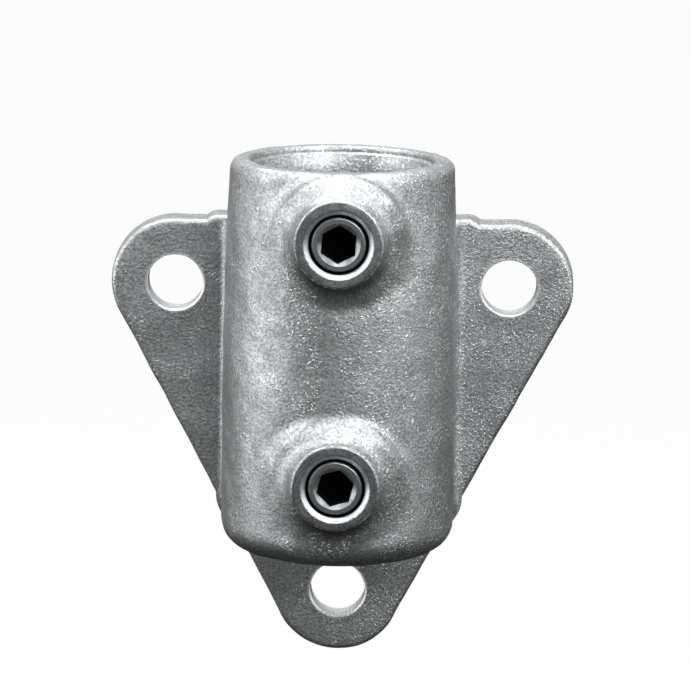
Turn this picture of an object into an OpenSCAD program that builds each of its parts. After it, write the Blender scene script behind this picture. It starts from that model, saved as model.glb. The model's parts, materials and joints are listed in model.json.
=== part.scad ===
// Side flange tube anchor: a cast socket for an upright tube on a three-hole flange.
// Millimetres. X runs across the wall, +Y goes into the wall and +Z is up, along the socket.
// The wall face is y = 0. The origin is level with the upper pair of fixing holes.

/* [Socket] */
// height of the socket's rim above the upper fixing holes
socket_top = 42.3; // [38:0.1:50]
// depth of the socket's foot below the upper fixing holes
socket_foot = 73.5; // [72:0.5:80]
// distance from the wall face to the socket's axis
axis_off = 35; // [34.5:0.5:38]
// clear bore that takes the tube
bore_d = 50.2; // [49.5:0.1:50.6]
// outside diameter at the rim
rim_d = 65.6; // [64:0.2:67]
// outside diameter of the lower body
body_d = 69.2; // [68:0.2:70]
// length over which the body swells from the rim to its full size
swell_len = 75; // [60:1:90]
// outer rounding of the rim
rim_round = 3; // [2:0.1:3.6]
// radius of the rounded foot
foot_round = 8; // [6:0.5:10]
// opening diameter at the top of the lead-in
mouth_d = 54; // [53:0.2:55]
// rounding of the opening's edge
mouth_round = 1.2; // [0.6:0.1:1.6]
// depth of the lead-in from the rim to the clear bore
lead_in = 6; // [4:0.5:8]
// depth of the ledge below the rim where the lead-in starts
ledge_depth = 2.4; // [2:0.1:3]
// width of that ledge
ledge_w = 0.9; // [0.5:0.1:1.2]
// clear hole through the stop lip at the foot
lip_hole_d = 38; // [30:0.5:42]
// thickness of the stop lip
lip_t = 7; // [5:0.5:10]
// softened lower edge of the hole in the stop lip
lip_soft = 1.5; // [0.5:0.1:2]

/* [Flange] */
// thickness of the flange
flange_t = 9; // [8:0.25:10]
// distance between the two upper fixing holes
hole_gap = 101; // [98:0.5:104]
// drop from the upper fixing holes to the lower one
hole_drop = 95; // [94:0.5:98]
// diameter of the fixing holes
hole_d = 16.8; // [13:0.1:17.5]
// softened edges of the fixing holes
hole_soft = 0.5; // [0.2:0.1:0.8]
// radius of the three rounded corners
corner_r = 19.7; // [18:0.1:21]
// rise of the middle of the top edge over the corners
crown_rise = 1.3; // [1:0.1:2.6]
// half length of the raised middle of the top edge
crown_half = 43.5; // [41:0.5:46]
// rounding of the flange's front edge
edge_round = 1.6; // [0.8:0.1:2.2]
// draft angle of the flange's edge in degrees
draft = 2.5; // [1:0.5:4]
// fillet where the socket's sides meet the flange
foot_cove = 3; // [2:0.25:4]

/* [Screw bosses] */
// height of the upper boss above the upper fixing holes
boss_up = 23.5; // [22.5:0.1:24]
// distance between the two bosses
boss_gap = 70.6; // [68:0.2:71]
// distance from the socket's axis to the machined boss face
boss_reach = 42; // [41:0.25:44]
// diameter of the boss collar at its face
collar_d = 24; // [23:0.2:25]
// rounding of the collar's edge at its face
collar_round = 0.7; // [0.4:0.1:1]
// height of the collar's straight top, below which it flares
collar_land = 1.6; // [1.2:0.1:2.2]
// how far the collar flares out at its root
collar_flare = 2.4; // [1.4:0.2:3.2]
// depth of the collar's root below the socket's front line
collar_root = 2; // [1:0.2:3]
// diameter of the pad below each collar
pad_d = 40; // [37:0.5:41]
// height of the pad's shoulder over the socket's front line
pad_rise = 3.6; // [3:0.1:4]
// climb of the pad's top from its shoulder to the screw's axis
pad_crown = 4; // [3:0.2:4.6]
// thickness of the pad where it follows the barrel round
pad_wrap = 4.4; // [4:0.1:5]
// rounding of the pad towards the rim
pad_over = 6; // [4:0.5:8]
// lean of the pad's lower side, which runs out into the socket
pad_lean = 22; // [16:1:30]
// clear width of the countersink at the boss face
sink_d = 19.8; // [18.6:0.1:20.8]

/* [Set screws] */
// outside diameter of the set screw thread
screw_d = 16.66; // [15:0.01:17.2]
// length of the set screw
screw_len = 14.8; // [12:0.2:15.6]
// chamfer round the screw's face
screw_chamfer = 0.85; // [0.5:0.05:1.1]
// chamfer at the screw's point
point_chamfer = 2.2; // [1.5:0.1:2.6]
// diameter of the cup at the screw's point
cup_d = 10; // [8:0.1:11]
// depth of the cup
cup_depth = 2.3; // [1.5:0.1:2.6]
// depth of the screw's face below the boss face
screw_set = 0.5; // [0:0.1:0.8]
// across flats of the hexagon socket
hex_af = 9.6; // [8:0.1:10]
// depth of the hexagon socket
hex_depth = 8; // [5:0.5:9]
// depth of the round chamfer at the mouth of the hexagon
hex_lead = 0.9; // [0.5:0.1:1.2]
// depth of the drill point below the hexagon
hex_drill = 1.6; // [1:0.1:2]
// radial clearance of the screw in its tapped hole
screw_fit = 0.05; // [0.03:0.01:0.1]
// turn of the upper screw in degrees
turn_up = 3; // [0:1:59]
// turn of the lower screw in degrees
turn_low = 14; // [0:1:59]

/* [Hidden] */
bore_r = bore_d / 2;
body_r = body_d / 2;
rim_r = rim_d / 2;
foot_z = -socket_foot;
boss_low = boss_up - boss_gap;
boss_h = axis_off + boss_reach;
tap_r = screw_d / 2 + screw_fit;
front_h = axis_off + body_r;
slope = atan2(hole_gap / 2, hole_drop);
crown_top = corner_r + crown_rise;
crown_corner = 6;
shelf_z = crown_top - 0.5;
open_half = rim_r - 6.8;
open_z = foot_z + 20;
collar_low = front_h - collar_root;
pad_low = axis_off + sqrt(bore_r * bore_r - pad_d * pad_d / 4) + 3;
shy = 0.12;
cove_lap = 2.4;
steps = 8;

// points on an arc
function arc(cx, cy, r, a0, a1, n) =
    [for (i = [0:n]) [cx + r * cos(a0 + (a1 - a0) * i / n), cy + r * sin(a0 + (a1 - a0) * i / n)]];

// outer radius of the socket at a depth below the rim: it swells along a parabola, then stays even
function swell(d) =
    d >= swell_len ? body_r : body_r - (body_r - rim_r) * pow(1 - d / swell_len, 2);

// the socket's side line from depth d0 to depth d1, as points of radius and height
function side(d0, d1, n) =
    [for (i = [0:n]) [swell(d0 + (d1 - d0) * i / n), socket_top - d0 - (d1 - d0) * i / n]];

// section of the flange's edge: outline radius r at the wall, draft, then a rounded front edge
function edge_section(r, inner) =
    let (e = edge_round, cx = r - (flange_t - e) * tan(draft) - e / cos(draft))
    concat([[inner, 0], [r, 0]], arc(cx, flange_t - e, e, draft, 90, 5), [[inner, flange_t]]);

// radius of the boss collar at a share of the way from its straight top down to its root
function collar_r(share) = collar_d / 2 + collar_flare * pow(share, 1.6);

// turns a shape drawn as x, z and height in front of the wall into its place
module on_wall() {
    rotate([90, 0, 0])
        children();
}

// a rounded corner of the flange
module flange_corner(x, z, r) {
    translate([x, z, 0])
        rotate_extrude($fn = 96)
            polygon(edge_section(r, 0));
}

// a straight stretch of the flange's edge; out is the angle of its outward side
module flange_edge(x, z, out, len, r) {
    translate([x, z, 0])
        rotate([0, 0, out])
            rotate([90, 0, 0])
                linear_extrude(height = len)
                    polygon(edge_section(r - shy, -2));
}

// the flange: three corners, three edges, the raised top edge and the flat middle
module flange() {
    half = hole_gap / 2;
    run = sqrt(half * half + hole_drop * hole_drop);
    crown_x = crown_half - crown_corner;
    crown_z = crown_top - crown_corner;
    on_wall()
        difference() {
            union() {
                flange_corner(-half, 0, corner_r);
                flange_corner(half, 0, corner_r);
                flange_corner(0, -hole_drop, corner_r);
                flange_corner(-crown_x, crown_z, crown_corner);
                flange_corner(crown_x, crown_z, crown_corner);
                flange_edge(-half, 0, 90, hole_gap, corner_r);
                flange_edge(-crown_x, 0, 90, 2 * crown_x, crown_top);
                flange_edge(0, -hole_drop, 180 + slope, run, corner_r);
                flange_edge(half, 0, -slope, run, corner_r);
                linear_extrude(height = flange_t)
                    polygon([[-half, 1], [half, 1], [0.5, -hole_drop], [-0.5, -hole_drop]]);
            }
            translate([-open_half, open_z, -1])
                cube([2 * open_half, socket_top + socket_foot, flange_t + 2]);
        }
}

// the socket's outline on its right, from the flange's top down round the foot
function low_line() = concat(
    side(socket_top - shelf_z, socket_top + socket_foot - foot_round, steps),
    [for (p = arc(body_r - foot_round, foot_z + foot_round, foot_round, 0, -90, steps))
        if (p[1] < foot_z + foot_round - 0.01) p]);

// the round body of the socket: a full ring above the flange, the front half below its top
module barrel() {
    low = low_line();
    translate([0, -axis_off, 0]) {
        rotate_extrude($fn = 180)
            polygon(concat(
                [[0, shelf_z]],
                side(socket_top - shelf_z, rim_round, 6),
                arc(swell(rim_round) - rim_round, socket_top - rim_round, rim_round, 12, 90, 5),
                [[0, socket_top]]));
        rotate([0, 0, 180])
            rotate_extrude(angle = 180, $fn = 180)
                polygon(concat([[0, foot_z], [0, shelf_z]], low));
    }
}

// the sides run straight back from the barrel to the wall
module cheeks() {
    right = low_line();
    left = [for (i = [len(right) - 1:-1:0]) [-right[i][0], right[i][1]]];
    on_wall()
        linear_extrude(height = axis_off)
            polygon(concat(right, left));
}

// section of the fillet between a side and the flange; its upper part leans in as a draft does
module cove_section() {
    difference() {
        translate([-cove_lap, -1])
            square([foot_cove + cove_lap, foot_cove + 1]);
        translate([foot_cove, foot_cove])
            circle(r = foot_cove, $fn = 64);
    }
    polygon([[-cove_lap, 0], [0, 0], [0, foot_cove], [-cove_lap, foot_cove + 5 * cove_lap]]);
}

// the fillet along one side and round one corner of the foot
module cove_side(s) {
    low = foot_z + foot_round;
    run = crown_top - edge_round - 0.4 - low;
    translate([0, 0, flange_t])
        mirror([s < 0 ? 1 : 0, 0, 0]) {
            translate([body_r, low + run, 0])
                rotate([90, 0, 0])
                    linear_extrude(height = run)
                        cove_section();
            translate([body_r - foot_round, low, 0])
                rotate([0, 0, -90])
                    rotate_extrude(angle = 90, $fn = 96)
                        translate([foot_round, 0])
                            cove_section();
        }
}

// the fillet under the foot
module cove_foot() {
    half = body_r - foot_round;
    translate([-half, foot_z, flange_t])
        rotate([90, 0, 90])
            mirror([1, 0, 0])
                linear_extrude(height = 2 * half)
                    cove_section();
}

// the raised pad under one boss: a steep shoulder above and at the sides, then a shallow cone up
// to the collar; its lower side leans and runs out into the barrel
module pad(z) {
    r = pad_d / 2;
    top = front_h + pad_rise;
    intersection() {
        translate([0, z, 0])
            rotate_extrude($fn = 120)
                polygon(concat(
                    [[0, pad_low], [r + 0.5, pad_low]],
                    [[r, front_h - 0.6], [r - 0.4, front_h - 0.1], [r - 0.9, front_h + 0.4]],
                    [[r - pad_rise, top - 0.6], [r - pad_rise - 0.6, top - 0.25], [r - pad_rise - 1.4, top]],
                    [[0, top + pad_crown]]));
        pad_limit();
        translate([0, z - r, front_h - 0.3])
            rotate([pad_lean, 0, 0])
                translate([-pad_d, -pad_d, -2 * pad_d])
                    cube([2 * pad_d, 3 * pad_d, 2 * pad_d]);
    }
}

// the pads follow the barrel round and are rounded off at the rim
module pad_limit() {
    reach = body_r + pad_wrap;
    translate([0, 0, axis_off])
        rotate([-90, 0, 0])
            rotate_extrude($fn = 180)
                polygon(concat(
                    [[0, foot_z + 1], [reach, foot_z + 1]],
                    arc(reach - pad_over, socket_top - pad_over, pad_over, 0, 90, 10),
                    [[0, socket_top]]));
}

// the turned collar of one boss with its machined face
module collar(z) {
    low = axis_off + bore_r - 1;
    flare_top = boss_h - collar_land;
    fall = flare_top - collar_low;
    translate([0, z, 0])
        rotate_extrude($fn = 120)
            polygon(concat(
                [[0, low], [collar_r(1), low]],
                [for (i = [0:8]) [collar_r(1 - i / 8), collar_low + fall * i / 8]],
                arc(collar_d / 2 - collar_round, boss_h - collar_round, collar_round, 0, 90, 5),
                [[0, boss_h]]));
}

// the lead-in, the tube bore and the hole in the stop lip
module socket_bore() {
    mouth_r = mouth_d / 2;
    ledge_z = socket_top - ledge_depth;
    lip_z = foot_z + lip_t;
    lip_r = lip_hole_d / 2;
    translate([0, -axis_off, 0]) {
        translate([0, 0, lip_z])
            cylinder(r = bore_r, h = socket_top - lip_z + 5, $fn = 180);
        translate([0, 0, foot_z - 5])
            cylinder(r = lip_r, h = lip_t + 10, $fn = 120);
        rotate_extrude($fn = 180)
            polygon(concat(
                [[bore_r - 3, socket_top - lead_in - 1], [bore_r, socket_top - lead_in]],
                [[mouth_r - ledge_w, ledge_z], [mouth_r, ledge_z + 0.6]],
                arc(mouth_r + mouth_round, socket_top - mouth_round, mouth_round, 180, 90, 6),
                [[mouth_r + mouth_round, socket_top + 1], [bore_r - 3, socket_top + 1]]));
        rotate_extrude($fn = 120)
            polygon([[lip_r - 2, foot_z - 1], [lip_r + lip_soft, foot_z - 1],
                     [lip_r + lip_soft, foot_z], [lip_r, foot_z + lip_soft],
                     [lip_r - 2, foot_z + lip_soft]]);
    }
}

// one tapped hole with its countersink, open into the bore
module screw_hole(z) {
    sink_r = sink_d / 2;
    sink_bottom = boss_h - (sink_r - tap_r - 0.3);
    translate([0, z, axis_off]) {
        cylinder(r = tap_r, h = boss_reach + 2, $fn = 96);
        translate([0, 0, sink_bottom - axis_off])
            cylinder(r1 = tap_r + 0.3, r2 = sink_r + 1, h = boss_h + 1 - sink_bottom - 0.3, $fn = 96);
    }
}

// one fixing hole with softened edges
module fixing_hole(x, z) {
    r = hole_d / 2;
    translate([x, z, 0]) {
        translate([0, 0, -1])
            cylinder(r = r, h = flange_t + 2, $fn = 96);
        translate([0, 0, flange_t - hole_soft])
            cylinder(r1 = r, r2 = r + hole_soft + 1, h = hole_soft + 1, $fn = 96);
        translate([0, 0, -1])
            cylinder(r1 = r + hole_soft + 1, r2 = r, h = hole_soft + 1, $fn = 96);
    }
}

// the one-piece casting
module casting() {
    color([0.62, 0.64, 0.65])
        difference() {
            union() {
                flange();
                barrel();
                cheeks();
                on_wall() {
                    cove_side(1);
                    cove_side(-1);
                    cove_foot();
                    pad(boss_up);
                    pad(boss_low);
                    collar(boss_up);
                    collar(boss_low);
                }
            }
            socket_bore();
            on_wall() {
                screw_hole(boss_up);
                screw_hole(boss_low);
                fixing_hole(-hole_gap / 2, 0);
                fixing_hole(hole_gap / 2, 0);
                fixing_hole(0, -hole_drop);
            }
        }
}

// one set screw: hexagon socket in front, cup point towards the tube
module set_screw(z, turn) {
    r = screw_d / 2;
    c = screw_chamfer;
    hex_r = hex_af / 2 / cos(30);
    face = boss_h - screw_set;
    tip = face - screw_len;
    floor_h = face - hex_depth;
    on_wall()
        translate([0, z, 0])
            difference() {
                rotate_extrude($fn = 120)
                    polygon([[0, tip], [r - point_chamfer, tip], [r, tip + point_chamfer],
                             [r, face - c - 0.1], [r - c + 0.1, face - 0.1],
                             [r - c - 0.1, face], [0, face]]);
                translate([0, 0, floor_h])
                    rotate([0, 0, 90 - turn])
                        cylinder(r = hex_r, h = hex_depth + 1, $fn = 6);
                translate([0, 0, face - hex_lead])
                    cylinder(r1 = hex_r - 0.5, r2 = hex_r + 0.75, h = hex_lead + 0.1, $fn = 96);
                translate([0, 0, floor_h - hex_drill])
                    cylinder(r1 = 0.5, r2 = hex_af / 2 - 0.6, h = hex_drill + 0.1, $fn = 64);
                translate([0, 0, tip - 0.1])
                    cylinder(r1 = cup_d / 2, r2 = 1.2, h = cup_depth + 0.1, $fn = 64);
            }
}

module set_screw_upper() {
    color([0.5, 0.52, 0.54])
        set_screw(boss_up, turn_up);
}

module set_screw_lower() {
    color([0.5, 0.52, 0.54])
        set_screw(boss_low, turn_low);
}

casting();
set_screw_upper();
set_screw_lower();
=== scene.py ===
"""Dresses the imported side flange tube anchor: a galvanised casting, two threaded set screws and a studio.

Metres in the part's own frame: +Z up along the socket, +Y into the wall, the wall face on y = 0.
Inside the functions, lengths named _mm and all profile numbers are millimetres.
"""
import json
import math

import bpy
import numpy as np
from mathutils import Matrix, Vector

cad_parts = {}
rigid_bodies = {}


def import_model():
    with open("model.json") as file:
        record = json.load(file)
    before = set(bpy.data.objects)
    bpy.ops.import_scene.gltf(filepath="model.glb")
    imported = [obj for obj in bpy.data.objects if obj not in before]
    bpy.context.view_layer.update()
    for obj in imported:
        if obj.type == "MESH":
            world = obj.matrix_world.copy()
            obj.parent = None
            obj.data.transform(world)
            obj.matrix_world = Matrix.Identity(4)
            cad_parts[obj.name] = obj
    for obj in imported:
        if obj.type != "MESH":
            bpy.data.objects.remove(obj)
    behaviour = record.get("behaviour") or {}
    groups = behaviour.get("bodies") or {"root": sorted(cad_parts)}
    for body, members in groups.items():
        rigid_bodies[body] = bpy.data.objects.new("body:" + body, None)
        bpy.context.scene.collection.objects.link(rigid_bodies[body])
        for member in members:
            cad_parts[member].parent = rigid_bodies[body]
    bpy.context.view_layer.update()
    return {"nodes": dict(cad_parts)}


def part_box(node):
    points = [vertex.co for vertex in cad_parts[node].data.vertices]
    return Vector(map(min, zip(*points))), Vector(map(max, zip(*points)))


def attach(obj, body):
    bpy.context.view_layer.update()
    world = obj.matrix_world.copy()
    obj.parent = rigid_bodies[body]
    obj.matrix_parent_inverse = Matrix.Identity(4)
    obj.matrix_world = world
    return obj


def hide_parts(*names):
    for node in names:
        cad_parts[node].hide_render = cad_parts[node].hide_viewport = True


bl_info = {
    "name": "Side Flange Tube Anchor",
    "version": (1, 0, 0),
    "blender": (4, 5, 0),
    "location": "3D View > Sidebar > Tube Anchor",
    "description": "Builds a galvanised tube anchor with its set screws and a plain studio round it",
    "category": "Object",
}

for leftover in list(bpy.data.objects):
    bpy.data.objects.remove(leftover)

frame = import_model()
screw_boxes = {name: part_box(name) for name in ("set_screw_upper", "set_screw_lower")}

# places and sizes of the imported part, in millimetres
AXIS, BORE_R = 35.0, 25.1
BODY_R, RIM_R, SWELL = 34.6, 32.8, 75.0
RIM_Z, FOOT_Z, RIM_ROUND, FOOT_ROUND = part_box("casting")[1][2] * 1000.0, -73.5, 3.0, 8.0
FRONT, FACE = AXIS + BODY_R, -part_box("casting")[0][1] * 1000.0
PAD_R, PAD_RISE, PAD_WRAP, PAD_OVER = 20.0, 3.6, 4.4, 6.0
COLLAR_R, COLLAR_FLARE, COLLAR_ROOT, COLLAR_LAND = 12.0, 2.4, 2.0, 1.6
BOSSES = {name: (lo[2] + hi[2]) * 500.0 for name, (lo, hi) in screw_boxes.items()}
HOLES = ((-50.5, 0.0), (50.5, 0.0), (0.0, -95.0))

# how the skin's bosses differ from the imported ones: the slope of a pad's top, the depth below the screw
# and the angle of the plane that cuts its foot off, and what a collar has more in radius
PAD_SLOPE, PAD_FOOT, PAD_LEAN, COLLAR_MORE = 0.12, 16.5, 35.0, 0.6

# colours on the zinc and in the holes, among them painted glints, painted shade on the underside, a painted
# highlight on the fixing holes' walls and near-black painted shade in the gaps and sockets
PAINTED_GLINT, DARK_GRAIN, PIT = (0.86, 0.89, 0.9), (0.16, 0.17, 0.175), (0.06, 0.065, 0.07)
UNDERSIDE_SHADE_COLOUR, HOLE_WALL_HIGHLIGHT, BURNISHED = (0.02, 0.022, 0.025), (0.72, 0.74, 0.75), (0.88, 0.9, 0.91)
GAP_SHADE_BLACK, DEEP_SHADE_AND_GRIME = (0.012, 0.012, 0.013), (0.003, 0.003, 0.003)

# the photograph's camera, found by a fit over the part: metres, the lens in millimetres, and degrees
CAMERA_PLACE, CAMERA_LENS = (0.01789, -1.03484, 0.18448), 179.94
CAMERA_SIDE, CAMERA_DOWN, CAMERA_ROLL = 0.936, 11.188, 0.9

# distances from a screw's axis at which the blending of its boss begins to fade and ends
FADE_FROM, FADE_TO = 26.0, 30.0

# the soft boxes: name, place and size in metres
LAMPS = (("top_box", (-0.10, 0.0, 0.85), (1.1, 1.2)),
         ("left_box", (-0.95, -0.24, 0.16), (0.9, 1.1)),
         ("right_box", (1.0, -0.40, 0.30), (1.5, 1.0)),
         ("front_box", (0.45, -0.95, 0.55), (0.9, 0.5)))


# sizes and colours

class CastingLook(bpy.types.PropertyGroup):
    fine_step: bpy.props.FloatProperty(
        name="Fine step", description="Longest edge of the skin's mesh where it shows in front",
        default=0.0014, min=0.0008, max=0.01, unit="LENGTH")
    coarse_step: bpy.props.FloatProperty(
        name="Coarse step", description="Longest edge of the skin's mesh on the back and in the bore",
        default=0.0046, min=0.001, max=0.02, unit="LENGTH")
    wave_height: bpy.props.FloatProperty(
        name="Wave height", description="Height of the soft waves that the sand mould left",
        default=0.00007, min=0.0, max=0.001, unit="LENGTH")
    bright_zinc: bpy.props.FloatVectorProperty(
        name="Bright zinc", description="Colour of the smooth, shiny parts of the zinc",
        default=(0.55, 0.565, 0.57), min=0.0, max=1.0, size=3, subtype="COLOR")
    dull_zinc: bpy.props.FloatVectorProperty(
        name="Dull zinc", description="Colour of the dull, darker parts of the zinc",
        default=(0.34, 0.355, 0.36), min=0.0, max=1.0, size=3, subtype="COLOR")
    bare_iron: bpy.props.FloatVectorProperty(
        name="Bare iron", description="Colour of the faced collars and the tapped holes",
        default=(0.19, 0.2, 0.205), min=0.0, max=1.0, size=3, subtype="COLOR")


class ScrewLook(bpy.types.PropertyGroup):
    pitch: bpy.props.FloatProperty(
        name="Pitch", description="Advance of the thread in one turn",
        default=0.001337, min=0.0005, max=0.003, unit="LENGTH")
    thread_depth: bpy.props.FloatProperty(
        name="Thread depth", description="Depth of the thread from crest to root",
        default=0.00078, min=0.0001, max=0.002, unit="LENGTH")
    across_flats: bpy.props.FloatProperty(
        name="Across flats", description="Width of the hexagon socket across its flats",
        default=0.0096, min=0.004, max=0.011, unit="LENGTH")
    socket_depth: bpy.props.FloatProperty(
        name="Socket depth", description="Depth of the hexagon socket",
        default=0.008, min=0.002, max=0.01, unit="LENGTH")
    upper_turn: bpy.props.FloatProperty(
        name="Upper turn", description="Turn of the upper hexagon, clockwise from a corner at the top",
        default=math.radians(3.0), min=0.0, max=math.radians(60.0), subtype="ANGLE")
    lower_turn: bpy.props.FloatProperty(
        name="Lower turn", description="Turn of the lower hexagon, clockwise from a corner at the top",
        default=math.radians(14.0), min=0.0, max=math.radians(60.0), subtype="ANGLE")
    steel: bpy.props.FloatVectorProperty(
        name="Plated steel", description="Colour of the set screws' plating",
        default=(0.29, 0.305, 0.315), min=0.0, max=1.0, size=3, subtype="COLOR")


class StudioLook(bpy.types.PropertyGroup):
    floor_drop: bpy.props.FloatProperty(
        name="Floor drop", description="Distance from the origin down to the floor",
        default=0.32, min=0.12, max=1.0, unit="LENGTH")
    floor_colour: bpy.props.FloatVectorProperty(
        name="Floor", description="Colour of the floor",
        default=(0.8, 0.8, 0.8), min=0.0, max=1.0, size=3, subtype="COLOR")
    top_power: bpy.props.FloatProperty(
        name="Top light", description="Power of the soft box above",
        default=16.0, min=0.0, max=100.0, unit="POWER")
    left_power: bpy.props.FloatProperty(
        name="Left light", description="Power of the soft box at the left",
        default=8.5, min=0.0, max=100.0, unit="POWER")
    right_power: bpy.props.FloatProperty(
        name="Right light", description="Power of the soft box at the right",
        default=6.0, min=0.0, max=100.0, unit="POWER")
    front_power: bpy.props.FloatProperty(
        name="Front light", description="Power of the soft box above the camera at its right",
        default=10.0, min=0.0, max=100.0, unit="POWER")
    sky: bpy.props.FloatProperty(
        name="Room light", description="Strength of the even light from all round",
        default=0.25, min=0.0, max=1.0, subtype="FACTOR")


# materials

def emptied_tree(owner):
    """The node tree of a new material or world, with nothing in it."""
    owner.use_nodes = True
    owner.node_tree.nodes.clear()
    return owner.node_tree


def add_node(tree, kind, inputs=None, **settings):
    """One shader node; inputs maps a socket's name or number to a value or to another node's output."""
    made = tree.nodes.new(kind)
    for key, value in settings.items():
        setattr(made, key, value)
    for key, value in (inputs or {}).items():
        if isinstance(value, bpy.types.NodeSocket):
            tree.links.new(value, made.inputs[key])
        else:
            made.inputs[key].default_value = value
    return made


def calc(tree, how, first, second=0.0):
    """One step of arithmetic on two values."""
    return add_node(tree, "ShaderNodeMath", {0: first, 1: second}, operation=how).outputs[0]


def value_map(tree, source, low, high, to_low=0.0, to_high=1.0):
    """Carries a value from one span to another, held at its ends."""
    made = add_node(tree, "ShaderNodeMapRange", {0: source, 1: low, 2: high, 3: to_low, 4: to_high})
    return made.outputs[0]


def mix_colours(tree, amount, first, second):
    """Mixes two colours by an amount."""
    made = add_node(tree, "ShaderNodeMix", data_type="RGBA")
    for slot, value in ((0, amount), (6, first), (7, second)):
        if isinstance(value, bpy.types.NodeSocket):
            tree.links.new(value, made.inputs[slot])
        else:
            made.inputs[slot].default_value = value if slot == 0 else (*value[:3], 1.0)
    return made.outputs[2]


def scaled(colour, share):
    """A colour made lighter or darker by a share."""
    return [channel * share for channel in colour]


def noise(tree, place, size_mm, detail=3.0, rough=0.5):
    """Soft noise whose features are about size_mm across, from 0 to 1."""
    made = add_node(tree, "ShaderNodeTexNoise",
                    {"Vector": place, "Scale": 1.0 / size_mm, "Detail": detail, "Roughness": rough})
    return made.outputs["Fac"]


def turning_marks(tree, out, pace, depth):
    """Rings as a turning tool leaves them: the sine of the distance out times the pace, times the depth."""
    return calc(tree, "MULTIPLY", calc(tree, "SINE", calc(tree, "MULTIPLY", out, pace)), depth)


def add_bump(tree, shader, height, distance):
    """Roughens a shader's surface by a height, as far as the distance in metres."""
    bump = add_node(tree, "ShaderNodeBump", {"Height": height, "Distance": distance, "Strength": 1.0})
    tree.links.new(bump.outputs[0], shader.inputs["Normal"])


def new_metal(name, metallic):
    """A material with its shader, its output and object coordinates in millimetres."""
    made = bpy.data.materials.new(name)
    tree = emptied_tree(made)
    shader = add_node(tree, "ShaderNodeBsdfPrincipled", {"Metallic": metallic})
    add_node(tree, "ShaderNodeOutputMaterial", {"Surface": shader.outputs[0]})
    metres = add_node(tree, "ShaderNodeTexCoord").outputs["Object"]
    to_mm = {0: metres, "Scale": 1000.0}
    place = add_node(tree, "ShaderNodeVectorMath", to_mm, operation="SCALE").outputs[0]
    return made, tree, shader, place


def places_round(tree, place, axes):
    """Millimetres out from the nearest of some axes square to the wall, and in front of the wall."""
    on_wall = add_node(tree, "ShaderNodeVectorMath", {0: place, 1: (1.0, 0.0, 1.0)}, operation="MULTIPLY")
    least = 1000.0
    for x, z in axes:
        ends = {0: on_wall.outputs[0], 1: (x, 0.0, z)}
        far = add_node(tree, "ShaderNodeVectorMath", ends, operation="DISTANCE").outputs["Value"]
        least = calc(tree, "MINIMUM", far, least)
    into_wall = add_node(tree, "ShaderNodeSeparateXYZ", {0: place}).outputs[1]
    return least, calc(tree, "MULTIPLY", into_wall, -1.0)


def boss_places(tree, place):
    """Millimetres out from the nearer screw's axis, and in front of the wall."""
    return places_round(tree, place, [(0.0, z) for z in BOSSES.values()])


def machined_shares(tree, place, out, height):
    """Four shares from 0 to 1 on the bosses: what is cut to bare iron, what lies within the countersink's
    edge, the burnished edge just below the face, and the tapped hole round the screw, painted near black as
    shade. They go by the distance out from the screw's axis and the height, and ragged noise frays the
    borders of the first three."""
    ragged = calc(tree, "MULTIPLY", calc(tree, "SUBTRACT", noise(tree, place, 1.1, 2.0), 0.5), 2.4)
    rough_height = calc(tree, "ADD", height, calc(tree, "MAXIMUM", ragged, -0.25))
    rough_out = calc(tree, "ADD", out, calc(tree, "MULTIPLY", ragged, 0.5))
    front = value_map(tree, height, AXIS + 24.0, AXIS + 25.0)
    faced = value_map(tree, rough_height, FACE - 0.5, FACE - 0.3)
    sunk = value_map(tree, rough_out, 9.75, 9.95, 1.0, 0.0)
    cut = calc(tree, "MAXIMUM", faced, calc(tree, "MULTIPLY", sunk, front))
    burnished = calc(tree, "MULTIPLY", value_map(tree, rough_height, FACE - 1.6, FACE - 1.1), 0.9)
    # painted shade: the tapped hole's wall round the screw is painted near black
    gap_shade = calc(tree, "MULTIPLY", value_map(tree, out, 8.6, 8.75, 1.0, 0.0), front)
    return cut, sunk, burnished, gap_shade


def zinc_painted_glints(tree, place):
    """Painted glints: bright flecks, the peaks of a fine noise, kept where a broad one, raised at the right,
    is high.
    """
    across = add_node(tree, "ShaderNodeSeparateXYZ", {0: place}).outputs[0]
    rightward = value_map(tree, across, -20.0, 10.0, -0.09, 0.06)
    cluster = value_map(tree, calc(tree, "ADD", noise(tree, place, 8.0, 2.0), rightward), 0.45, 0.6)
    peaks = value_map(tree, noise(tree, place, 0.75, 1.0, 0.5), 0.59, 0.65)
    return calc(tree, "MULTIPLY", peaks, cluster)


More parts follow.
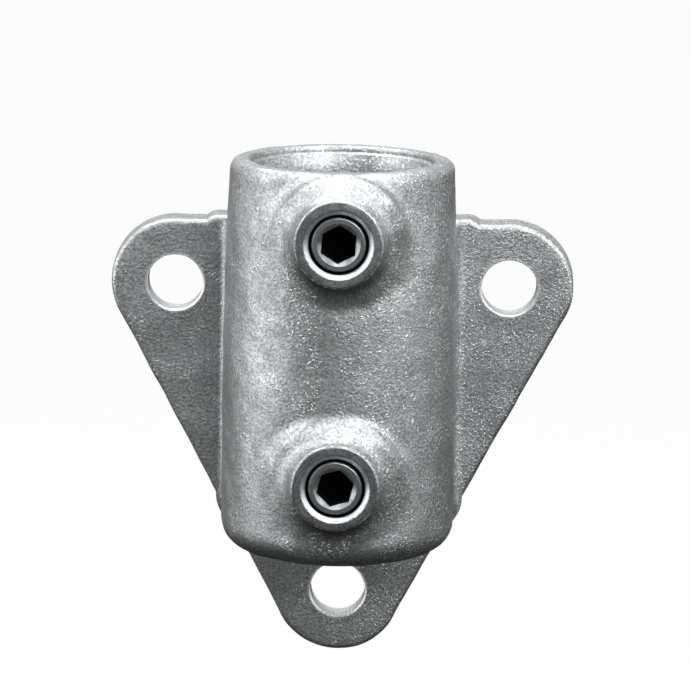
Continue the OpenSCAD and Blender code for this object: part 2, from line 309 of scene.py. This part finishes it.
def galvanised_zinc(look):
    """Hot-dip zinc on rough iron: broad and fine mottling, painted glints in loose clusters, thicker at the
    right, dark pits and a fine grain, painted shade where the skin faces down, strongest under the collars,
    and a painted highlight on the walls of the fixing holes. On the bosses the faced ring and the countersink
    are bare iron with turning marks, the countersink painted lighter as a highlight, the edge below the face
    is burnished, and the tapped hole round the screw is painted near black as shade."""
    made, tree, shader, place = new_metal("galvanised_zinc", 0.95)
    out, height = boss_places(tree, place)
    cut, sunk, burnished, gap_shade = machined_shares(tree, place, out, height)
    broad = noise(tree, place, 26.0, 2.0)
    mottle = noise(tree, place, 5.0, 4.0, 0.6)
    grain = noise(tree, place, 0.8, 2.0, 0.6)
    painted_glints = zinc_painted_glints(tree, place)
    pits = calc(tree, "MULTIPLY", value_map(tree, noise(tree, place, 1.5, 3.0, 0.6), 0.70, 0.75),
                value_map(tree, broad, 0.4, 0.6))
    # painted shade where the skin faces down, stronger within 15.5 mm of a screw's axis, under the collars
    shade = add_node(tree, "ShaderNodeAttribute", attribute_name="painted_shade").outputs["Fac"]
    shade = calc(tree, "MULTIPLY", shade, value_map(tree, out, 15.5, 18.5, 0.75, 0.5))
    # painted highlight: the walls of the fixing holes are painted lighter, standing in for the light from
    # above
    in_holes = value_map(tree, places_round(tree, place, HOLES)[0], 8.7, 9.4, 1.0, 0.0)

    iron = mix_colours(tree, value_map(tree, grain, 0.35, 0.65), look.bare_iron, scaled(look.bare_iron, 1.7))
    # painted highlight: the countersink's bare iron is painted 3.2 times lighter than the faced ring
    iron = mix_colours(tree, sunk, iron, scaled(look.bare_iron, 3.2))
    tone = calc(tree, "ADD", calc(tree, "MULTIPLY", broad, 0.35), calc(tree, "MULTIPLY", mottle, 0.65))
    colour = mix_colours(tree, value_map(tree, tone, 0.36, 0.66), look.dull_zinc, look.bright_zinc)
    for share, layer in ((value_map(tree, grain, 0.38, 0.64, 0.0, 0.65), DARK_GRAIN),
                         # painted glints: bright flecks mixed into the zinc's colour
                         (calc(tree, "MULTIPLY", painted_glints, 0.85), PAINTED_GLINT),
                         (calc(tree, "MULTIPLY", pits, 0.75), PIT),
                         # painted shade on the skin that faces down
                         (shade, UNDERSIDE_SHADE_COLOUR),
                         # painted highlight on the fixing holes' walls
                         (in_holes, HOLE_WALL_HIGHLIGHT),
                         (burnished, BURNISHED),
                         (cut, iron),
                         # painted shade in the gap round the screw
                         (gap_shade, GAP_SHADE_BLACK)):
        colour = mix_colours(tree, share, colour, layer)
    tree.links.new(colour, shader.inputs["Base Color"])

    shine = calc(tree, "MULTIPLY", calc(tree, "MAXIMUM", painted_glints, burnished), 0.12)
    rough = calc(tree, "SUBTRACT", value_map(tree, mottle, 0.35, 0.65, 0.52, 0.42), shine)
    tree.links.new(rough, shader.inputs["Roughness"])

    lumps = calc(tree, "ADD", calc(tree, "MULTIPLY", mottle, 0.07), calc(tree, "MULTIPLY", grain, 0.15))
    lumps = calc(tree, "SUBTRACT", lumps, calc(tree, "MULTIPLY", pits, 0.12))
    lumps = calc(tree, "ADD", lumps, calc(tree, "MULTIPLY", painted_glints, 0.1))
    marks = calc(tree, "ADD", turning_marks(tree, out, 21.0, 0.006), calc(tree, "MULTIPLY", grain, 0.02))
    relief = add_node(tree, "ShaderNodeMix", {0: cut, 2: lumps, 3: marks}, data_type="FLOAT").outputs[0]
    add_bump(tree, shader, relief, 0.001)
    return made


def plated_steel(look):
    """Plated steel of the set screws: a mottled satin grey face with faint turning marks, and near-black
    painted shade, with some dirt, in the thread and down in the hexagon."""
    made, tree, shader, place = new_metal("plated_steel", 0.9)
    out, height = boss_places(tree, place)
    grime = noise(tree, place, 2.2, 4.0, 0.6)
    grain = noise(tree, place, 0.3, 2.0)
    in_thread = value_map(tree, out, 7.62, 7.78)
    in_socket = calc(tree, "MULTIPLY", value_map(tree, height, FACE - 2.2, FACE - 1.25, 1.0, 0.0),
                     value_map(tree, out, 5.7, 5.8, 1.0, 0.0))
    # painted shade, with some dirt: the thread and the depth of the hexagon are painted near black
    deep_shade_and_grime = calc(tree, "MAXIMUM", in_thread, in_socket)
    colour = mix_colours(tree, value_map(tree, grime, 0.35, 0.7), look.steel, scaled(look.steel, 0.6))
    tree.links.new(mix_colours(tree, deep_shade_and_grime, colour, DEEP_SHADE_AND_GRIME), shader.inputs["Base Color"])
    satin = value_map(tree, grime, 0.3, 0.7, 0.26, 0.4)
    tree.links.new(calc(tree, "MAXIMUM", satin, deep_shade_and_grime), shader.inputs["Roughness"])
    add_bump(tree, shader, calc(tree, "ADD", turning_marks(tree, out, 26.0, 0.15), grain), 0.00002)
    return made


def seen_share(tree, camera, glossy):
    """How much of the white background a ray sees: its own share for the camera and clear glass, and
    another for reflections, since a pale room at full strength washes out the relief of rough metal."""
    path = add_node(tree, "ShaderNodeLightPath").outputs
    direct = calc(tree, "MAXIMUM", path["Is Camera Ray"], path["Is Transmission Ray"])
    return calc(tree, "MAXIMUM", calc(tree, "MULTIPLY", direct, camera),
                calc(tree, "MULTIPLY", path["Is Glossy Ray"], glossy))


# meshes

def mesh_object(name, points_mm, faces, material, sharp_degrees=32.0):
    """A mesh object at the origin from an array of points in millimetres and an array or list of faces,
    smooth but for edges sharper than the angle."""
    mesh = bpy.data.meshes.new(name)
    mesh.from_pydata((points_mm * 0.001).tolist(), [], faces if isinstance(faces, list) else faces.tolist())
    mesh.polygons.foreach_set("use_smooth", np.ones(len(mesh.polygons), dtype=bool))
    mesh.set_sharp_from_angle(angle=math.radians(sharp_degrees))
    mesh.materials.append(material)
    mesh.update()
    made = bpy.data.objects.new(name, mesh)
    bpy.context.collection.objects.link(made)
    return made


def turned_object(name, points, material):
    """A closed skin from rows of points round an axis. The first and last rows are single points, the
    poles, and each row joins the next by quads and closes on itself."""
    rows, columns = points.shape[:2]
    grid = 1 + np.arange((rows - 2) * columns).reshape(rows - 2, columns)
    after = np.roll(grid, -1, axis=1)
    last = grid[-1, -1] + 1
    quads = np.stack([grid[:-1], after[:-1], after[1:], grid[1:]], axis=2).reshape(-1, 4)
    first_cap = np.stack([np.full(columns, 0), after[0], grid[0]], axis=1)
    last_cap = np.stack([np.full(columns, last), grid[-1], after[-1]], axis=1)
    placed = np.concatenate([points[:1, 0], points[1:-1].reshape(-1, 3), points[-1:, 0]])
    faces = quads.tolist() + first_cap.tolist() + last_cap.tolist()
    return mesh_object(name, placed, faces, material, sharp_degrees=28.0)


def merged_arrays(node, close=0.01):
    """The points in millimetres and the triangles of a CAD node, with points closer than close made one."""
    mesh = frame["nodes"][node].data
    points = np.empty(len(mesh.vertices) * 3)
    mesh.vertices.foreach_get("co", points)
    mesh.calc_loop_triangles()
    tris = np.empty(len(mesh.loop_triangles) * 3, dtype=np.int64)
    mesh.loop_triangles.foreach_get("vertices", tris)
    points = points.reshape(-1, 3) * 1000.0
    keys = np.round(points / close).astype(np.int64)
    _, first, same = np.unique(keys, axis=0, return_index=True, return_inverse=True)
    tris = same.reshape(-1)[tris].reshape(-1, 3)
    keep = (tris[:, 0] != tris[:, 1]) & (tris[:, 1] != tris[:, 2]) & (tris[:, 2] != tris[:, 0])
    return points[first], tris[keep]


def halve_long_edges(points, tris, limit):
    """Every edge longer than the limit at its middle is halved there, and a triangle with one, two or three
    halved edges becomes two, three or four. Returns points, triangles and how many edges were cut."""
    ends = np.sort(np.stack([tris, np.roll(tris, -1, axis=1)], axis=2).reshape(-1, 2), axis=1)
    keys, which = np.unique(ends[:, 0] * len(points) + ends[:, 1], return_inverse=True)
    ends = np.stack([keys // len(points), keys % len(points)], axis=1)
    middle = points[ends].mean(axis=1)
    cut = np.linalg.norm(points[ends[:, 0]] - points[ends[:, 1]], axis=1) > limit(middle)
    fresh = np.full(len(ends), -1)
    fresh[cut] = len(points) + np.arange(cut.sum())
    mids = fresh[which.reshape(-1)].reshape(-1, 3)
    points = np.concatenate([points, middle[cut]])
    count = (mids >= 0).sum(axis=1)
    made = [tris[count == 0]]
    first_side = {1: lambda m: np.argmax(m >= 0, axis=1),
                  2: lambda m: (np.argmax(m < 0, axis=1) + 1) % 3}
    for cuts, side in first_side.items():
        some, m = tris[count == cuts], mids[count == cuts]
        order = (side(m)[:, None] + np.arange(3)) % 3
        a, b, c = np.take_along_axis(some, order, axis=1).T
        p, q, _ = np.take_along_axis(m, order, axis=1).T
        if cuts == 1:
            made += [np.stack([a, p, c], axis=1), np.stack([p, b, c], axis=1)]
        else:
            from_a = np.linalg.norm(points[a] - points[q], axis=1)
            from_c = np.linalg.norm(points[p] - points[c], axis=1)
            short = from_a < from_c
            made += [np.stack([p, b, q], axis=1),
                     np.stack([a, p, np.where(short, q, c)], axis=1),
                     np.stack([np.where(short, a, p), q, c], axis=1)]
    a, b, c = tris[count == 3].T
    p, q, r = mids[count == 3].T
    made += [np.stack(row, axis=1) for row in ((a, p, r), (p, b, q), (r, q, c), (p, q, r))]
    return points, np.concatenate(made), int(cut.sum())


def point_normals(points, tris):
    """Unit normal at each point: the sum of its triangles' cross products, made one long."""
    cross = np.cross(points[tris[:, 1]] - points[tris[:, 0]], points[tris[:, 2]] - points[tris[:, 0]])
    total = np.zeros_like(points)
    for k in range(3):
        np.add.at(total, tris[:, k], cross)
    return total / np.maximum(np.linalg.norm(total, axis=1, keepdims=True), 1e-12)


def waves(points, longest, shortest, count, seed):
    """Sum of plane waves of seeded directions, lengths and phases, with a root mean square of one."""
    rng = np.random.default_rng(seed)
    way = rng.normal(size=(count, 3))
    way /= np.linalg.norm(way, axis=1, keepdims=True)
    length = np.exp(rng.uniform(math.log(shortest), math.log(longest), count))
    phase = rng.uniform(0.0, 2.0 * math.pi, count)
    height = (length / longest) ** 0.5
    total = np.sin(points @ (way / length[:, None] * 2.0 * math.pi).T + phase) @ height
    return total / math.sqrt((height ** 2).sum() / 2.0)


def step(low, high, x):
    """Smooth step from 0 at low to 1 at high."""
    t = np.clip((x - low) / (high - low), 0.0, 1.0)
    return t * t * (3.0 - 2.0 * t)


def soft_lower(a, b, k):
    """The lower of two distances, blended over a width k where they are close, which makes a fillet."""
    t = np.maximum(k - np.abs(a - b), 0.0) / k
    return np.minimum(a, b) - t * t * k / 4.0


def soft_higher(a, b, k):
    """The higher of two distances, blended over a width k where they are close, which rounds an edge."""
    return -soft_lower(-a, -b, k)


def corner(across, along, radius):
    """Distance outside a rounded corner whose two sides lie across and along past its centre."""
    return np.where((across > 0.0) & (along > 0.0), np.hypot(across, along) - radius, across - radius)


def barrel_distance(across, z):
    """Distance outside the socket's barrel with its rounded rim and foot, whose radius swells from the rim
    down along a parabola and then stays even."""
    radius = BODY_R - (BODY_R - RIM_R) * np.clip(1.0 - (RIM_Z - z) / SWELL, 0.0, 1.0) ** 2
    rim = corner(across - radius + RIM_ROUND, z - RIM_Z + RIM_ROUND, RIM_ROUND)
    foot = corner(across - radius + FOOT_ROUND, FOOT_Z + FOOT_ROUND - z, FOOT_ROUND)
    return np.where(z > 0.0, rim, foot)


def boss_distance(points, z_boss):
    """Distance outside the socket with one boss: the barrel, the pad, which is the overlap of a shallow
    cone, a steep cone, a sleeve round the barrel and a leaning plane, and the flared collar, with fillets
    between them. The sleeve sinks towards the sides, more at the left, and below the screw, where the
    fillets widen too, so that the pad stands out crisply at its top only."""
    x, height, z = points[:, 0], -points[:, 1], points[:, 2]
    out = np.hypot(x, z - z_boss)
    across = np.hypot(x, height - AXIS)
    aside = (x / np.maximum(out, 1.0)) ** 2
    left = 0.5 - 0.5 * np.clip(x / 10.0, -1.0, 1.0)
    below = step(-0.25, 0.6, (z_boss - z) / np.maximum(out, 1.0))

    shallow = (height - FRONT - PAD_RISE + PAD_SLOPE * (out - 15.0)) / math.hypot(1.0, PAD_SLOPE)
    reach = PAD_R - 1.0 - left * aside - 2.5 * below
    steep = np.maximum((out - reach + 0.5 + height - FRONT) / math.sqrt(2.0), out - reach)
    sink = (2.2 + 2.4 * left) * aside + 5.6 * below
    sleeve = corner(across - BODY_R - PAD_WRAP + sink + PAD_OVER, z - RIM_Z + PAD_OVER, PAD_OVER)
    lean = math.radians(PAD_LEAN)
    plane = (height - FRONT + 0.3) * math.cos(lean) - (z - z_boss + PAD_FOOT) * math.sin(lean)
    pad = soft_higher(soft_higher(shallow, steep, 1.6), soft_higher(sleeve, plane, 3.0), 2.0)

    flare = np.clip((FACE - COLLAR_LAND - height) / (FACE - COLLAR_LAND - FRONT + COLLAR_ROOT), 0.0, 1.0)
    collar = out - COLLAR_R - COLLAR_MORE - COLLAR_FLARE * flare ** 1.3
    pad_fillet = 1.6 + (2.5 + 1.5 * left) * aside + 3.0 * below
    collar_fillet = 3.0 + 2.4 * below
    return soft_lower(soft_lower(barrel_distance(across, z), pad, pad_fillet), collar, collar_fillet)


def settle(points, moving, distance):
    """Moves points by their share of moving towards where a distance is zero. Eight times over, a point
    moves along the slope by the distance over the slope's square, held within one, times the slope."""
    points = points.copy()
    probe = 0.02
    for _ in range(8):
        here = distance(points)
        ahead = [distance(points + way) - distance(points - way) for way in np.eye(3) * probe]
        slope = np.stack(ahead, axis=1) / (2.0 * probe)
        steps = here / np.maximum((slope ** 2).sum(axis=1), 0.25)
        points -= (np.clip(steps, -1.0, 1.0) * moving)[:, None] * slope
    return points


# operators

class TUBEANCHOR_OT_casting(bpy.types.Operator):
    """Make the casting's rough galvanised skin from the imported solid"""
    bl_idname = "tubeanchor.casting"
    bl_label = "Casting"

    def execute(self, context):
        look = context.scene.anchor_casting
        points, tris = self.fine_mesh(look.fine_step * 1000.0, look.coarse_step * 1000.0)
        points = self.blend_bosses(points)
        sand = waves(points, longest=26.0, shortest=5.0, count=48, seed=7)
        push = look.wave_height * 1000.0 * sand * self.cast_share(points)
        lo, hi = (np.array(corner_at) * 1000.0 for corner_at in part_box("casting"))
        skin = np.clip(points + point_normals(points, tris) * push[:, None], lo, hi)
        made = mesh_object("casting_skin", skin, tris, galvanised_zinc(look))
        # painted shade: a share that grows as the skin faces down, which darkens the zinc's colour
        painted_shade = made.data.attributes.new("painted_shade", "FLOAT", "POINT")
        painted_shade.data.foreach_set("value", step(0.1, 0.75, -point_normals(skin, tris)[:, 2]))
        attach(made, "root")
        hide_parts("casting")
        print("casting_skin", len(points), "points", len(tris), "triangles")
        return {"FINISHED"}

    @staticmethod
    def fine_mesh(fine, coarse):
        """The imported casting's points and triangles, with edges halved until they are as short as is asked:
        fine on and round the bosses, coarse on the back and in the bore, and midway between on the rest."""
        def limit(middle):
            x, height, z = middle[:, 0], -middle[:, 1], middle[:, 2]
            hidden = (height < 0.5) | (np.hypot(x, height - AXIS) < BORE_R + 0.5)
            out = np.minimum(*(np.hypot(x, z - z_boss) for z_boss in BOSSES.values()))
            on_boss = (out < FADE_FROM) & (height > AXIS + 15.0)
            return np.where(hidden, coarse, np.where(on_boss, fine, 0.5 * (fine + coarse)))

        points, tris = merged_arrays("casting")
        for _ in range(12):
            points, tris, cuts = halve_long_edges(points, tris, limit)
            if not cuts:
                break
        return points, tris

    @staticmethod
    def blend_bosses(points):
        """Softens the joins of the barrel, the pads and the collars, as they are in a casting, after
        pushing the collars' edges out a little."""
        points = points.copy()
        inner, outer = BODY_R - 6.1, BODY_R - 4.6
        edge, land = FACE - 0.8, FACE - COLLAR_LAND
        for z_boss in BOSSES.values():
            height = -points[:, 1]
            aside = points * (1.0, 0.0, 1.0) - (0.0, 0.0, z_boss)
            out = np.linalg.norm(aside, axis=1)
            more = COLLAR_MORE * step(10.4, 11.4, out) * (out < 16.0) * step(FACE - 3.0, land, height)
            points += aside * (more / np.maximum(out, 1.0))[:, None]
            out += more
            across = np.hypot(points[:, 0], height - AXIS)
            in_front = (height > AXIS + 12.0) & (height < edge)
            some = (out > 11.9) & (out < FADE_TO) & (across > inner) & in_front
            near, out, across, height = points[some], out[some], across[some], height[some]
            moving = step(FADE_TO, FADE_FROM, out) * step(inner, outer, across) * step(edge, land, height)
            points[some] = settle(near, moving, lambda p: boss_distance(p, z_boss))
        return points

    @staticmethod
    def cast_share(points):
        """1 on the rough skin, falling to 0 on the flat back, in the bore and on the machined bosses."""
        height = -points[:, 1]
        across = np.hypot(points[:, 0], height - AXIS)
        share = step(0.0, 1.0, height) * step(BORE_R + 0.2, BORE_R + 1.4, across)
        for z_boss in BOSSES.values():
            out = np.hypot(points[:, 0], points[:, 2] - z_boss)
            share *= 1.0 - step(12.4, 11.4, out) * step(AXIS + 20.0, AXIS + 24.0, height)
        return share


class TUBEANCHOR_OT_set_screws(bpy.types.Operator):
    """Make both set screws with their threads, hexagon sockets and cup points"""
    bl_idname = "tubeanchor.set_screws"
    bl_label = "Set screws"

    def execute(self, context):
        look = context.scene.anchor_screws
        steel = plated_steel(look)
        for name, turn in (("set_screw_upper", look.upper_turn), ("set_screw_lower", look.lower_turn)):
            made = self.screw(name, look, steel, turn)
            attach(made, "root")
            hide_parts(name)
        return {"FINISHED"}

    @staticmethod
    def screw(name, look, steel, turn):
        """A profile carried round the screw's axis, as rows of radius against angle from one pole to the
        other. A hexagon row's radius is half the flats' width over the cosine of the angle from the nearest
        flat's middle, and in the chamfer the larger of that and the chamfer's cone. A thread row's radius
        is the outside radius less a zigzag of height over pitch less the turn, and less still in the
        chamfers at both ends."""
        lo, hi = (np.array(corner_at) * 1000.0 for corner_at in screw_boxes[name])
        face, tip, radius = -lo[1], -hi[1], (hi[0] - lo[0]) / 2.0
        pitch, deep = look.pitch * 1000.0, look.thread_depth * 1000.0
        half_flat, floor = look.across_flats * 500.0, face - look.socket_depth * 1000.0
        mouth = half_flat / math.cos(math.pi / 6.0) + 0.62
        columns = 168
        angle = np.arange(columns) / columns * 2.0 * math.pi
        from_corner = (angle - turn + math.pi / 6.0) % (math.pi / 3.0) - math.pi / 6.0
        hexagon = half_flat / np.cos(np.abs(from_corner) - math.pi / 6.0)

        def rings(radii, heights):
            return np.array(radii)[:, None] + 0.0 * angle, np.array(heights)

        drill = rings([0.0, 0.6, half_flat - 0.6], [floor - 1.6, floor - 1.5, floor])
        walls = np.tile(hexagon, (4, 1)), np.array([floor, floor + 0.05, face - 2.5, face - 1.2])
        rise = np.linspace(-1.1, 0.0, 12)
        chamfer = np.maximum(hexagon, (mouth + 1.25 * rise)[:, None]), face + rise
        land = rings([mouth + 0.1, radius - 0.95, radius - 0.8], [face, face, face - 0.08])
        down = np.linspace(face - 0.25, tip + 0.3, 118)
        saw = (down[:, None] / pitch - angle / (2.0 * math.pi)) % 1.0
        zigzag = np.clip(np.abs(2.0 * saw - 1.0) * 1.25 - 0.1, 0.0, 1.0)
        ends = np.minimum(radius - 0.8 + 0.45 * (face - 0.1 - down), radius - 2.0 + (down - tip - 0.2))
        thread = np.minimum(radius - deep * zigzag, ends[:, None]), down
        cup = rings([radius - 2.2, radius - 3.1, radius - 3.3, 1.2, 0.0],
                    [tip, tip, tip + 0.15, tip + 2.3, tip + 2.3])
        reach, height = (np.concatenate(row) for row in zip(drill, walls, chamfer, land, thread, cup))
        height = height[:, None] + 0.0 * angle
        points = np.stack([reach * np.sin(angle), -height, BOSSES[name] + reach * np.cos(angle)], axis=2)
        return turned_object(name + "_threaded", points, steel)


class TUBEANCHOR_OT_studio(bpy.types.Operator):
    """Make the pale floor, the soft lights, the room and the camera"""
    bl_idname = "tubeanchor.studio"
    bl_label = "Studio"

    def execute(self, context):
        look = context.scene.anchor_studio
        context.scene.view_settings.view_transform = "Standard"
        self.floor(look)
        self.room(context, look)
        powers = (look.top_power, look.left_power, look.right_power, look.front_power)
        for (name, place, size), power in zip(LAMPS, powers):
            self.lamp(name, Vector(place), size, power)
        self.camera(context)
        return {"FINISHED"}

    @staticmethod
    def floor(look, side=30.0):
        """A wide flat floor: plain and pale to the lamps, white to the camera and dim in reflections."""
        mesh = bpy.data.meshes.new("floor")
        z = -look.floor_drop
        corners = [(-side, -side, z), (side, -side, z), (side, side, z), (-side, side, z)]
        mesh.from_pydata(corners, [], [(0, 1, 2, 3)])
        made = bpy.data.objects.new("floor", mesh)
        bpy.context.collection.objects.link(made)
        material = bpy.data.materials.new("pale_floor")
        tree = emptied_tree(material)
        plain = add_node(tree, "ShaderNodeBsdfDiffuse", {"Color": (*look.floor_colour, 1.0)})
        shine = seen_share(tree, 1.0, 0.03)
        white = add_node(tree, "ShaderNodeEmission", {"Color": (1.0, 1.0, 1.0, 1.0), "Strength": shine})
        seen = seen_share(tree, 0.96, 1.0)
        both = add_node(tree, "ShaderNodeMixShader", {0: seen, 1: plain.outputs[0], 2: white.outputs[0]})
        add_node(tree, "ShaderNodeOutputMaterial", {"Surface": both.outputs[0]})
        mesh.materials.append(material)

    @staticmethod
    def room(context, look):
        """Even light from all round, white to the camera and grey in reflections."""
        world = bpy.data.worlds.new("room")
        context.scene.world = world
        tree = emptied_tree(world)
        strength = calc(tree, "MAXIMUM", seen_share(tree, 1.0, 0.56), look.sky)
        back = add_node(tree, "ShaderNodeBackground", {"Color": (1.0, 1.0, 1.0, 1.0), "Strength": strength})
        add_node(tree, "ShaderNodeOutputWorld", {"Surface": back.outputs[0]})

    @staticmethod
    def lamp(name, place, size, power):
        """A soft box at a place, turned to the middle of the part."""
        middle = Vector((0.0, -0.035, -0.035))
        light = bpy.data.lights.new(name, "AREA")
        light.shape = "RECTANGLE"
        light.size, light.size_y = size
        light.energy = power
        made = bpy.data.objects.new(name, light)
        made.location = place
        made.rotation_euler = (middle - place).to_track_quat("-Z", "Y").to_euler()
        bpy.context.collection.objects.link(made)

    @staticmethod
    def camera(context):
        """The photograph's camera: a little to the right, eleven degrees above, and rolled by under a
        degree."""
        side, down, roll = (math.radians(angle) for angle in (CAMERA_SIDE, CAMERA_DOWN, CAMERA_ROLL))
        ahead = Vector((-math.sin(side) * math.cos(down), math.cos(side) * math.cos(down), -math.sin(down)))
        right = Vector((math.cos(side), math.sin(side), 0.0))
        up = right.cross(ahead)
        right, up = (right * math.cos(roll) + up * math.sin(roll),
                     up * math.cos(roll) - right * math.sin(roll))
        data = bpy.data.cameras.new("camera")
        data.sensor_width = 36.0
        data.lens = CAMERA_LENS
        data.clip_start = 0.05
        data.clip_end = 100.0
        made = bpy.data.objects.new("camera", data)
        turn = Matrix((right, up, -ahead)).transposed().to_4x4()
        made.matrix_world = Matrix.Translation(CAMERA_PLACE) @ turn
        bpy.context.collection.objects.link(made)
        context.scene.camera = made


class TUBEANCHOR_PT_panel(bpy.types.Panel):
    """Lists the pieces with their sizes and colours"""
    bl_idname = "TUBEANCHOR_PT_panel"
    bl_label = "Tube Anchor"
    bl_space_type = "VIEW_3D"
    bl_region_type = "UI"
    bl_category = "Tube Anchor"

    def draw(self, context):
        scene = context.scene
        for group, operator in ((scene.anchor_casting, TUBEANCHOR_OT_casting),
                                (scene.anchor_screws, TUBEANCHOR_OT_set_screws),
                                (scene.anchor_studio, TUBEANCHOR_OT_studio)):
            box = self.layout.box()
            for key in group.__annotations__:
                box.prop(group, key)
            box.operator(operator.bl_idname)


CLASSES = (CastingLook, ScrewLook, StudioLook, TUBEANCHOR_OT_casting, TUBEANCHOR_OT_set_screws,
           TUBEANCHOR_OT_studio, TUBEANCHOR_PT_panel)


def register():
    for kind in CLASSES:
        bpy.utils.register_class(kind)
    bpy.types.Scene.anchor_casting = bpy.props.PointerProperty(type=CastingLook)
    bpy.types.Scene.anchor_screws = bpy.props.PointerProperty(type=ScrewLook)
    bpy.types.Scene.anchor_studio = bpy.props.PointerProperty(type=StudioLook)


def unregister():
    del bpy.types.Scene.anchor_studio
    del bpy.types.Scene.anchor_screws
    del bpy.types.Scene.anchor_casting
    for kind in reversed(CLASSES):
        bpy.utils.unregister_class(kind)


def main():
    register()
    bpy.ops.tubeanchor.casting()
    bpy.ops.tubeanchor.set_screws()
    bpy.ops.tubeanchor.studio()


if __name__ == "__main__":
    main()
